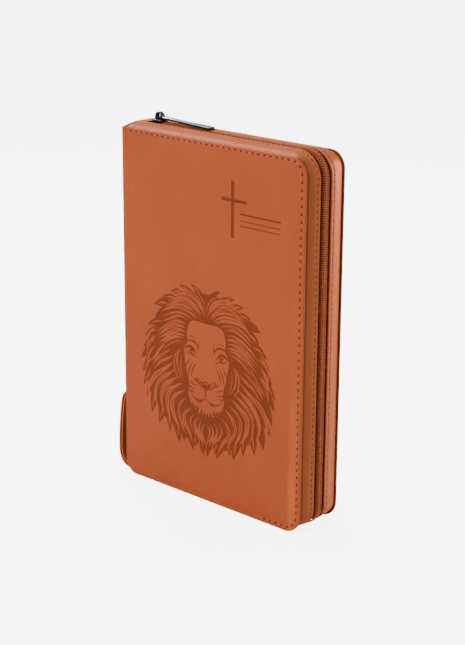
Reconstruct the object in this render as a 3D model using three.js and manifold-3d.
// A study bible in a zip-closed case of soft imitation leather, standing on its tail edge.
// Millimetres. +X runs from the spine to the fore-edge, the front cover faces -Y, and +Z is up.
// The book is drawn with the spine-side edge of its covers at x = 0, its mid-plane at y = 0 and its tail
// edge at z = 0, and the whole group is then shifted so that the box of the object is centred on the origin.

import * as THREE from "three";
import { mergeVertices } from "three/addons/utils/BufferGeometryUtils.js";
import Module from "manifold-3d";

const wasm = await Module();
wasm.setup();

// Driving dimensions
const WIDTH = 143; // cover, spine side to fore-edge
const HEIGHT = 220; // cover, tail to head
const HALF = 17.4; // mid-plane to the outer face of a cover
const CORNER = { spineTail: 8, foreTail: 11, foreHead: 10, spineHead: 1.5 };
const GAP = 0.15; // clearance between layers that lie on each other
const ARC_STEPS = 8; // facets in each rounded corner

// Cover: a leather skin turned over a board, with a pasted lining
const SKIN = 0.9;
const EDGE = 2.0; // thickness of the turned edge
const TURN_IN = 3.0; // width of the turned edge
const BOARD = 0.95;
const LINING = 0.4;
const LINING_INSET = 4.5;

// Gusset: the wall between a cover and the zip, rising from the cover to the zip in a quarter wave
const GUSSET = 1.1; // thickness
const GUSSET_START = 7.3; // where the halves part, beside the closed ends at the spine
const GUSSET_STEPS = 5;
const INSET = 0.9; // from the cover's edge to the foot of the gusset, at the head and the fore-edge
const ROOT = {
  y: HALF - EDGE - GAP,
  x: WIDTH - INSET,
  head: HEIGHT - INSET,
  tail: 2.5,
  headArc: 9.3,
  tailArc: 9,
};
const LIP = { y: 4.7, x: WIDTH + 0.5, head: HEIGHT + 2.3, tail: 0.6, headArc: 15.5, tailArc: 12 };

// Zip
const TAPE = { inner: 0.9, outer: 6.2, depth: 1.4, thickness: 0.5 };
const COIL = { inner: 0.6, outer: 3.0, depth: 1.25, proud: 0.45, start: 19.8 };
const STOP = { x: 7.6, length: 1.6 };

// Text block
const BLOCK = { x: 134, tail: 7, head: 213, corner: 6, half: HALF - 3.15 };
const GUTTER = 9; // depth of the glued backbone from the joint
const PAGES_FROM = { front: -0.95, back: 0.83 }; // inner face of each half of the leaves
const ENDPAPER = 0.25;
const MULL = 0.3;
const HEADBAND = { radius: 1.3, x: 2.9 };
const LEAF = { thickness: 0.34, x: GUTTER + 0.4, places: [-0.62, -0.12, 0.5] };
const RIBBON = { headX: 12, tailX: 27, width: 6, y: 0.08, thickness: 0.16, tail: 14, head: 212 };

// Spine panel
const SPINE = { half: 17.2, crown: 1.7, inner: 1.1, edge: 0.3, inside: 0.1, tail: 2.6, corner: 5 };
const SPINE_RISE = { height: 1.6, half: 14.5, power: 2.6 };
const STIFFENER = { half: 11, crown: 1.05, thickness: 0.5, tail: 12, head: 212 };

// Tail tab: the end of the zip, covered in leather, folded out and stitched up the spine
const TAB = { half: 13, leather: 1.2, tape: 0.9 };
const TAB_ROUTE = [
  [-0.25, 1.3], [-4.4, 2], [-7.6, 5.2], [-8.9, 11], [-8.9, 18], [-8.5, 25], [-7.6, 34.5], [-6.3, 44],
  [-4.6, 48.6], [-2.3, 51],
];

// Slider and pull
const SLIDER = { x0: 9.4, x1: 19.4, half: 3.8, plate: 1.15 };
const BRIDGE = { x: 11.6, length: 3, half: 0.4 };
const CROWN = { outer: 3.1, inner: 1.75, half: 1.1, rise: 0.95 };
const PULL = { length: 44, half: 3, neck: 2.2, thickness: 1.3, window: 3.5, arm: 1.5, bar: 0.6, droop: 2.1 };

const lerp = THREE.MathUtils.lerp;
const at = (x, y, z) => new THREE.Vector3(x, y, z);
const range = (count) => [...Array(count).keys()];

// Materials
function material(color, roughness, metalness = 0) {
  return new THREE.MeshStandardMaterial({ color, roughness, metalness });
}
const LEATHER = material(0xbe6442, 0.55);
const TAPE_CLOTH = material(0x88492a, 0.85);
const COIL_NYLON = material(0x6e3a22, 0.5);
const GREY_BOARD = material(0x8d857a, 0.9);
const LINING_PAPER = material(0xa8603f, 0.8);
const BIBLE_PAPER = material(0xf1ead9, 0.9);
const FLYLEAF_PAPER = material(0xe9dfca, 0.9);
const MULL_CLOTH = material(0xd9d3c2, 0.95);
const HEADBAND_CLOTH = material(0xb5532f, 0.8);
const RIBBON_CLOTH = material(0x7a2f1c, 0.45);
const GUNMETAL = material(0x3b3b3f, 0.25, 1);
const NICKEL = material(0xc9c9cc, 0.2, 1);

// A closed outline in the x-z plane with its own radius at each corner.
function outline(x0, x1, z0, z1, corner) {
  const shape = new THREE.Shape();
  shape.moveTo(x0 + corner.spineTail, z0);
  shape.lineTo(x1 - corner.foreTail, z0);
  shape.absarc(x1 - corner.foreTail, z0 + corner.foreTail, corner.foreTail, -Math.PI / 2, 0);
  shape.lineTo(x1, z1 - corner.foreHead);
  shape.absarc(x1 - corner.foreHead, z1 - corner.foreHead, corner.foreHead, 0, Math.PI / 2);
  shape.lineTo(x0 + corner.spineHead, z1);
  shape.absarc(x0 + corner.spineHead, z1 - corner.spineHead, corner.spineHead, Math.PI / 2, Math.PI);
  shape.lineTo(x0, z0 + corner.spineTail);
  shape.absarc(x0 + corner.spineTail, z0 + corner.spineTail, corner.spineTail, Math.PI, Math.PI * 1.5);
  return shape;
}

// The same outline with every corner square on the spine side.
function squareSpine(foreRadius) {
  return { spineTail: 0, foreTail: foreRadius, foreHead: foreRadius, spineHead: 0 };
}

// An x-z shape made solid between two y values.
function slab(shape, yA, yB) {
  const options = { depth: Math.abs(yB - yA), bevelEnabled: false, curveSegments: ARC_STEPS };
  const geometry = new THREE.ExtrudeGeometry(shape, options);
  geometry.rotateX(Math.PI / 2);
  geometry.translate(0, Math.max(yA, yB), 0);
  return geometry;
}

function block(x0, x1, y0, y1, z0, z1) {
  const geometry = new THREE.BoxGeometry(x1 - x0, Math.abs(y1 - y0), z1 - z0);
  geometry.translate((x0 + x1) / 2, (y0 + y1) / 2, (z0 + z1) / 2);
  return geometry;
}

// Booleans on closed geometries
function solidOf(geometry) {
  const bare = new THREE.BufferGeometry();
  const source = geometry.index ? geometry.toNonIndexed() : geometry;
  bare.setAttribute("position", source.getAttribute("position").clone());
  const merged = mergeVertices(bare, 1e-4);
  const vertProperties = merged.getAttribute("position").array;
  return new wasm.Manifold(new wasm.Mesh({ numProp: 3, vertProperties, triVerts: merged.index.array }));
}
function geometryOf(solid) {
  const mesh = solid.getMesh();
  const geometry = new THREE.BufferGeometry();
  geometry.setAttribute("position", new THREE.BufferAttribute(mesh.vertProperties, 3));
  geometry.setIndex(new THREE.BufferAttribute(mesh.triVerts, 1));
  geometry.computeVertexNormals();
  return geometry;
}
function joined(...geometries) {
  return geometryOf(geometries.map(solidOf).reduce((whole, piece) => whole.add(piece)));
}
function cut(geometry, ...tools) {
  return geometryOf(tools.map(solidOf).reduce((whole, tool) => whole.subtract(tool), solidOf(geometry)));
}

// A band of even section carried through a row of stations. Each station lists the points of its outer face
// and the matching points of its inner face. The triangles are turned outward by the sign of the volume.
function band(stations) {
  const across = stations[0].outer.length;
  const ring = 2 * across;
  const points = stations.flatMap(({ outer, inner }) => [...outer, ...[...inner].reverse()]);
  const faces = [];
  const quad = (a, b, c, d) => faces.push([a, b, c], [a, c, d]);
  for (const s of range(stations.length - 1)) {
    for (const i of range(ring)) {
      const next = (i + 1) % ring;
      quad(s * ring + i, s * ring + next, (s + 1) * ring + next, (s + 1) * ring + i);
    }
  }
  const last = (stations.length - 1) * ring;
  for (const i of range(across - 1)) {
    const back = ring - 1 - i;
    quad(i, back, back - 1, i + 1);
    quad(last + i + 1, last + back - 1, last + back, last + i);
  }
  const spat = ([a, b, c]) => points[a].dot(points[b].clone().cross(points[c]));
  const volume = faces.reduce((sum, face) => sum + spat(face), 0);
  const turned = volume < 0 ? faces.map(([a, b, c]) => [a, c, b]) : faces;
  const geometry = new THREE.BufferGeometry().setFromPoints(points);
  geometry.setIndex(turned.flat());
  geometry.computeVertexNormals();
  return geometry;
}

// The U that the gusset and the zip follow round the case, from the head end to the tail end of the spine.
// rise is 0 at the cover and 1 at the zip, and depth moves the U inward.
function caseRoute(start, rise, depth) {
  const right = lerp(ROOT.x, LIP.x, rise) - depth;
  const head = lerp(ROOT.head, LIP.head, rise) - depth;
  const tail = lerp(ROOT.tail, LIP.tail, rise) + depth;
  const headRadius = lerp(ROOT.headArc, LIP.headArc, rise) - depth;
  const tailRadius = lerp(ROOT.tailArc, LIP.tailArc, rise) - depth;
  const arc = (radius, centreZ, from, to) =>
    range(ARC_STEPS + 1).map((i) => {
      const angle = lerp(from, to, i / ARC_STEPS);
      return [right - radius + radius * Math.cos(angle), centreZ + radius * Math.sin(angle)];
    });
  return [
    [start.head, head],
    ...arc(headRadius, head - headRadius, Math.PI / 2, 0),
    ...arc(tailRadius, tail + tailRadius, 0, -Math.PI / 2),
    [start.tail, tail],
  ];
}

// A band round the case. Each section point is [y, rise, depth].
function caseBand(side, start, outer, inner) {
  const carry = (points) => points.map(([y, rise, depth]) => [side * y, caseRoute(start, rise, depth)]);
  const outerRoutes = carry(outer);
  const innerRoutes = carry(inner);
  const pick = (routes, s) => routes.map(([y, route]) => at(route[s][0], y, route[s][1]));
  const count = outerRoutes[0][1].length;
  return band(range(count).map((s) => ({ outer: pick(outerRoutes, s), inner: pick(innerRoutes, s) })));
}

// Height of the gusset's wave at a distance from the mid-plane, as a rise from 0 to 1.
function waveRise(y) {
  return Math.sin((THREE.MathUtils.clamp((ROOT.y - y) / (ROOT.y - LIP.y), 0, 1) * Math.PI) / 2);
}

// Covers. side is -1 for the front and +1 for the back.
function coverSkin(side) {
  const face = outline(0, WIDTH, 0, HEIGHT, CORNER);
  const inside = squareSpine(CORNER.foreHead - TURN_IN);
  const pocket = outline(-TURN_IN, WIDTH - TURN_IN, TURN_IN, HEIGHT - TURN_IN, inside);
  const whole = slab(face, side * HALF, side * (HALF - EDGE));
  return cut(whole, slab(pocket, side * (HALF - SKIN), side * (HALF - EDGE - 1)));
}
function coverBoard(side) {
  const inset = TURN_IN + GAP;
  const radius = CORNER.foreHead - inset;
  const corner = { spineTail: CORNER.spineTail - inset, foreTail: radius, foreHead: radius, spineHead: 1 };
  const shape = outline(inset, WIDTH - inset, inset, HEIGHT - inset, corner);
  const outer = HALF - SKIN - GAP / 2;
  return slab(shape, side * outer, side * (outer - BOARD));
}
function coverLining(side) {
  const inset = LINING_INSET;
  const shape = outline(1, WIDTH - inset, inset, HEIGHT - inset, squareSpine(CORNER.foreHead - inset));
  const outer = HALF - EDGE - GAP;
  return slab(shape, side * outer, side * (outer - LINING));
}

// Gusset and zip halves
function gussetHalf(side) {
  const start = { head: GUSSET_START, tail: GUSSET_START };
  const rows = range(GUSSET_STEPS + 1).map((i) => lerp(ROOT.y, LIP.y, i / GUSSET_STEPS));
  const face = (depth) => rows.map((y) => [y, waveRise(y), depth]);
  return caseBand(side, start, face(0), face(GUSSET));
}
function tapeHalf(side) {
  const start = { head: GUSSET_START, tail: GUSSET_START };
  const face = (depth) => [[TAPE.outer, 1, depth], [TAPE.inner, 1, depth]];
  return caseBand(side, start, face(TAPE.depth), face(TAPE.depth + TAPE.thickness));
}
function coilHalf(side) {
  const start = { head: COIL.start, tail: GUSSET_START };
  const edge = 0.6;
  const ys = [COIL.outer, COIL.outer - edge, COIL.inner + edge, COIL.inner];
  const top = [edge - COIL.proud, -COIL.proud, -COIL.proud, edge - COIL.proud];
  return caseBand(side, start, ys.map((y, i) => [y, 1, top[i]]), ys.map((y) => [y, 1, COIL.depth]));
}
function topStop(side) {
  const z = LIP.head;
  const x1 = STOP.x + STOP.length;
  return block(STOP.x, x1, side * TAPE.inner, side * COIL.outer, z - COIL.depth, z + COIL.proud - 0.1);
}

// Text block
function textHalf(side, innerFace) {
  const shape = outline(GUTTER + 0.3, BLOCK.x, BLOCK.tail, BLOCK.head, squareSpine(BLOCK.corner));
  return slab(shape, side * BLOCK.half, innerFace);
}
function leafGroup(y) {
  const shape = outline(LEAF.x, BLOCK.x, BLOCK.tail, BLOCK.head, squareSpine(BLOCK.corner));
  return slab(shape, y - LEAF.thickness / 2, y + LEAF.thickness / 2);
}
function endpaper(side) {
  const shape = outline(3, BLOCK.x, BLOCK.tail, BLOCK.head, squareSpine(BLOCK.corner));
  const inner = BLOCK.half + GAP;
  return slab(shape, side * (inner + ENDPAPER), side * inner);
}
function headband(z) {
  const geometry = new THREE.CylinderGeometry(HEADBAND.radius, HEADBAND.radius, 2 * (BLOCK.half - 1), 10);
  geometry.translate(HEADBAND.x, 0, z);
  return geometry;
}
function ribbon() {
  const shape = new THREE.Shape();
  shape.moveTo(RIBBON.tailX, RIBBON.tail);
  shape.lineTo(RIBBON.tailX + RIBBON.width, RIBBON.tail);
  shape.lineTo(RIBBON.headX + RIBBON.width, RIBBON.head);
  shape.lineTo(RIBBON.headX, RIBBON.head);
  return slab(shape, RIBBON.y, RIBBON.y + RIBBON.thickness);
}

// Spine: a bowed panel whose head edge rises over the zip, drawn as sections from one joint to the other
function bowedPanel(half, outerX, innerX, tailZ, headZ) {
  const steps = 16;
  const ys = range(steps + 1).map((i) => lerp(-half, half, i / steps));
  return band(
    ys.map((y) => ({
      outer: [at(outerX(y), y, tailZ(y)), at(outerX(y), y, headZ(y))],
      inner: [at(innerX(y), y, tailZ(y)), at(innerX(y), y, headZ(y))],
    })),
  );
}
function spineHeadEdge(y) {
  const across = Math.min(Math.abs(y) / SPINE_RISE.half, 1);
  return HEIGHT + SPINE_RISE.height * (1 - across ** SPINE_RISE.power);
}
function spineTailEdge(y) {
  const past = Math.max(0, Math.abs(y) - (SPINE.half - SPINE.corner));
  return SPINE.tail + SPINE.corner - Math.sqrt(SPINE.corner ** 2 - past ** 2 + 1e-9);
}
const bow = (y) => 1 - (y / SPINE.half) ** 2;
function spineSkin() {
  const outer = (y) => -SPINE.edge - SPINE.crown * bow(y);
  const inner = (y) => -SPINE.inside - SPINE.inner * bow(y);
  return bowedPanel(SPINE.half, outer, inner, spineTailEdge, spineHeadEdge);
}
function spineStiffener() {
  const outer = (y) => -STIFFENER.crown + SPINE.inner * (1 - bow(y));
  const inner = (y) => outer(y) + STIFFENER.thickness;
  return bowedPanel(STIFFENER.half, outer, inner, () => STIFFENER.tail, () => STIFFENER.head);
}

// The closed end of the gusset at the head or the tail, arched over the text block beside the spine.
function gussetEnd(atHead) {
  const edge = atHead ? "head" : "tail";
  const inward = atHead ? -1 : 1;
  const half = [ROOT.y, ...range(GUSSET_STEPS).map((i) => lerp(ROOT.y, LIP.y, (i + 1) / GUSSET_STEPS))];
  const ys = [...half.map((y) => -y), ...half.reverse()];
  const height = (y) => lerp(ROOT[edge], LIP[edge], waveRise(Math.abs(y)));
  const arch = (x) => ({
    outer: ys.map((y) => at(x, y, height(y))),
    inner: ys.map((y) => at(x, y, height(y) + inward * GUSSET)),
  });
  return band([arch(GAP), arch(GUSSET_START - 0.3)]);
}

// One layer of the tail tab, offset from the route by near and far, both measured outward.
function tabLayer(near, far, trim) {
  const route = new THREE.SplineCurve(TAB_ROUTE.map(([x, z]) => new THREE.Vector2(x, z)));
  const steps = 22;
  const side = (offset) =>
    range(steps + 1).map((i) => {
      const u = lerp(0, 1 - trim, i / steps);
      const along = route.getTangent(u);
      return route.getPoint(u).add(new THREE.Vector2(along.y, -along.x).multiplyScalar(-offset));
    });
  return slab(new THREE.Shape([...side(near), ...side(far).reverse()]), -TAB.half, TAB.half);
}

// Slider: two plates joined by a bridge, open at both sides so that a row of coil can leave sideways
const TOP_PLATE_Z = LIP.head + COIL.proud + 0.3;
const BOTTOM_PLATE_Z = LIP.head - TAPE.depth - TAPE.thickness - 0.3;
function sliderBody() {
  const { x0, x1, half, plate } = SLIDER;
  const shape = new THREE.Shape();
  shape.moveTo(x0 + 1.6, -half);
  shape.lineTo(x1 - 2.4, -half);
  shape.lineTo(x1, -half + 1.1);
  shape.lineTo(x1, half - 1.1);
  shape.lineTo(x1 - 2.4, half);
  shape.lineTo(x0 + 1.6, half);
  shape.quadraticCurveTo(x0, half, x0, 0);
  shape.quadraticCurveTo(x0, -half, x0 + 1.6, -half);
  const options = { depth: plate, bevelEnabled: false, curveSegments: 5 };
  const plateAt = (z) => new THREE.ExtrudeGeometry(shape, options).translate(0, 0, z);
  const foot = BOTTOM_PLATE_Z - plate / 2;
  const top = TOP_PLATE_Z + plate / 2;
  const bridge = block(BRIDGE.x, BRIDGE.x + BRIDGE.length, -BRIDGE.half, BRIDGE.half, foot, top);
  return joined(plateAt(TOP_PLATE_Z), plateAt(BOTTOM_PLATE_Z - plate), bridge);
}

// Crown: the loop on top of the slider that holds the pull
const CROWN_X = (SLIDER.x0 + SLIDER.x1) / 2;
const CROWN_FOOT = TOP_PLATE_Z + SLIDER.plate + GAP;
const PIVOT_Z = CROWN_FOOT + CROWN.rise;
function sliderCrown() {
  const shape = new THREE.Shape();
  shape.moveTo(CROWN_X - CROWN.outer, CROWN_FOOT);
  shape.lineTo(CROWN_X - CROWN.inner, CROWN_FOOT);
  shape.absarc(CROWN_X, PIVOT_Z, CROWN.inner, Math.PI, 0, true);
  shape.lineTo(CROWN_X + CROWN.inner, CROWN_FOOT);
  shape.lineTo(CROWN_X + CROWN.outer, CROWN_FOOT);
  shape.absarc(CROWN_X, PIVOT_Z, CROWN.outer, 0, Math.PI);
  return slab(shape, -CROWN.half, CROWN.half);
}

// Pull: a cross bar in the crown, two arms beside it and a long round-ended tongue
function pullTab() {
  const { length, half, neck, thickness, window, arm, bar, droop } = PULL;
  const eye = window + 1.8;
  const shape = new THREE.Shape();
  shape.moveTo(-bar, -half + 0.3);
  shape.lineTo(eye, -half + 0.3);
  shape.quadraticCurveTo(eye + 3, -neck, eye + 6, -neck);
  shape.quadraticCurveTo(length * 0.6, -neck, length - half, -half);
  shape.absarc(length - half, 0, half, -Math.PI / 2, Math.PI / 2);
  shape.quadraticCurveTo(length * 0.6, neck, eye + 6, neck);
  shape.quadraticCurveTo(eye + 3, neck, eye, half - 0.3);
  shape.lineTo(-bar, half - 0.3);
  const options = { depth: thickness, bevelEnabled: false, curveSegments: ARC_STEPS };
  const tongue = new THREE.ExtrudeGeometry(shape, options).translate(0, 0, -thickness / 2);
  const hole = block(bar, window, -arm, arm, -thickness, thickness);
  const geometry = cut(tongue, hole);
  geometry.rotateY(THREE.MathUtils.degToRad(droop));
  return geometry.translate(CROWN_X, 0, PIVOT_Z);
}

// The assembly
const model = new THREE.Group();
model.name = "zip_bible";
function add(name, geometry, finish) {
  const mesh = new THREE.Mesh(geometry, finish);
  mesh.name = name;
  model.add(mesh);
}

const SIDES = { front: -1, back: 1 };
for (const [half, side] of Object.entries(SIDES)) {
  add(`${half}_leather`, coverSkin(side), LEATHER);
  add(`${half}_board`, coverBoard(side), GREY_BOARD);
  add(`${half}_lining`, coverLining(side), LINING_PAPER);
  add(`${half}_gusset`, gussetHalf(side), LEATHER);
  add(`${half}_zip_tape`, tapeHalf(side), TAPE_CLOTH);
  add(`${half}_zip_coil`, coilHalf(side), COIL_NYLON);
  add(`${half}_top_stop`, topStop(side), GUNMETAL);
  add(`${half}_endpaper`, endpaper(side), FLYLEAF_PAPER);
  add(`${half}_pages`, textHalf(side, PAGES_FROM[half]), BIBLE_PAPER);
}

add("spine_leather", spineSkin(), LEATHER);
add("spine_stiffener", spineStiffener(), GREY_BOARD);
add("spine_lining", block(GAP, GAP + 0.3, -14.2, 14.2, STIFFENER.tail, STIFFENER.head), LINING_PAPER);
add("mull", block(0.75, 0.75 + MULL, -14.2, 14.2, BLOCK.tail + 8, BLOCK.head - 8), MULL_CLOTH);
add("page_backbone", block(1.3, GUTTER, -BLOCK.half, BLOCK.half, BLOCK.tail, BLOCK.head), BIBLE_PAPER);
add("headband_head", headband(BLOCK.head + HEADBAND.radius + GAP), HEADBAND_CLOTH);
add("headband_tail", headband(BLOCK.tail - HEADBAND.radius - GAP), HEADBAND_CLOTH);
LEAF.places.forEach((y, i) => add(`middle_leaves_${i + 1}`, leafGroup(y), BIBLE_PAPER));
add("ribbon_marker", ribbon(), RIBBON_CLOTH);
add("gusset_end_head", gussetEnd(true), LEATHER);
add("gusset_end_tail", gussetEnd(false), LEATHER);
add("tail_tab_leather", tabLayer(0, TAB.leather, 0), LEATHER);
add("tail_tab_zip_end", tabLayer(-GAP - TAB.tape, -GAP, 0.12), TAPE_CLOTH);

add("slider_body", sliderBody(), GUNMETAL);
add("slider_crown", sliderCrown(), GUNMETAL);
add("slider_pull", pullTab(), NICKEL);

// The origin goes to the bottom centre of the object's box.
model.updateMatrixWorld(true);
const box = new THREE.Box3().setFromObject(model, true);
const centre = box.getCenter(new THREE.Vector3());
model.position.set(-centre.x, -centre.y, -box.min.z);

export default model;
